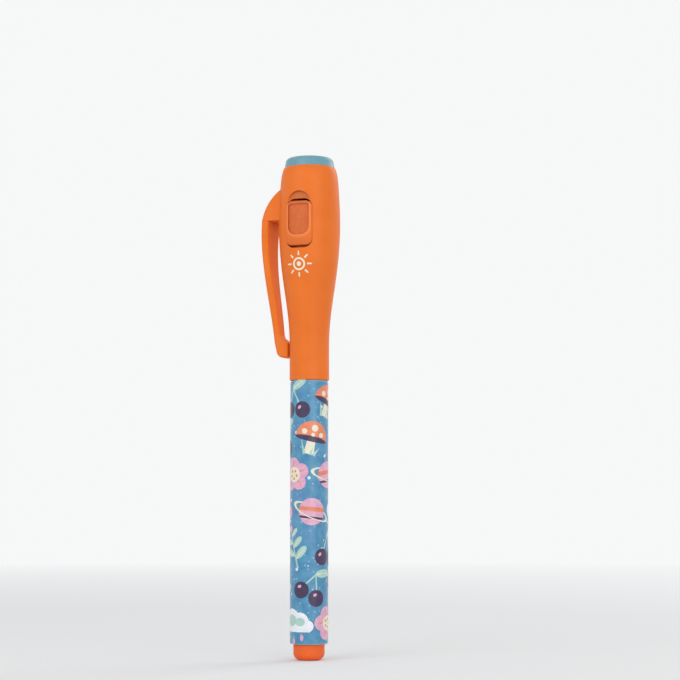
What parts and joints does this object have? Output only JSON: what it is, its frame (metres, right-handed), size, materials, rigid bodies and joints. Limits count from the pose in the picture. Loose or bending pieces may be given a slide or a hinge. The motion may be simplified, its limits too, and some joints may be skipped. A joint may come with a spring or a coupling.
{
  "type": "invisible ink pen with lamp cap",
  "caption": "Slim fibre-tip pen for invisible ink, with a bellied pull-off cap that holds an ultraviolet lamp, a press button, a pocket clip and a battery bay behind a screwed door.",
  "frame": {"origin": "centre of the flat foot of the end plug", "axes": "+Z along the pen towards the lamp, -Y out of the press button, -X out of the clip, +Y out of the battery door"},
  "size_m": [0.0211, 0.017, 0.136],
  "materials": {
    "orange_plastic": "satin moulded",
    "button_plastic": "satin moulded, slightly translucent",
    "barrel_plastic": "glossy moulded",
    "printed_film": "printed film",
    "lens_plastic": "translucent moulded",
    "white_plastic": "glossy moulded",
    "liner_plastic": "natural moulded",
    "carrier_plastic": "fine matte",
    "fibre": "bonded fibre",
    "clear_film": "clear film",
    "led_epoxy": "clear cast",
    "tinned_wire": "tinned",
    "cell_steel": "nickel plated",
    "spring_brass": "rolled strip",
    "screw_steel": "zinc plated"
  },
  "bodies": {
    "barrel": {"end_plug": "orange_plastic", "barrel_tube": "barrel_plastic", "printed_wrap": "printed_film", "ink_reservoir": "fibre", "reservoir_film": "clear_film", "nib_section": "white_plastic", "nib": "fibre"},
    "cap": {"cap_shell": "orange_plastic", "inner_cap": "liner_plastic", "lens": "lens_plastic", "uv_led": "led_epoxy", "led_leads": "tinned_wire", "battery_carrier": "carrier_plastic", "button_cell_1": "cell_steel", "button_cell_2": "cell_steel", "button_cell_3": "cell_steel", "positive_contact": "spring_brass", "switch_leaf": "spring_brass"},
    "button": {"light_button": "button_plastic"},
    "clip": {"pocket_clip": "orange_plastic"},
    "door": {"battery_door": "orange_plastic", "door_screw": "screw_steel"}
  },
  "joints": [
    {"name": "cap_pull", "type": "slide", "parent": "barrel", "child": "cap", "axis": [0, 0, 1], "range_m": [0, 0.045]},
    {"name": "button_press", "type": "slide", "parent": "cap", "child": "button", "axis": [0, 1, 0], "range_m": [0, 0.0007], "stiffness_N_per_m": 1500, "deforming": ["switch_leaf"]},
    {"name": "clip_flex", "type": "hinge", "parent": "cap", "child": "clip", "pos_m": [-0.01235, 0, 0.11841], "axis": [0, 1, 0], "range_deg": [0, 5], "stiffness_Nm_per_rad": 0.6},
    {"name": "door_lift", "type": "slide", "parent": "cap", "child": "door", "axis": [0, 1, 0], "range_m": [0, 0.012]}
  ]
}
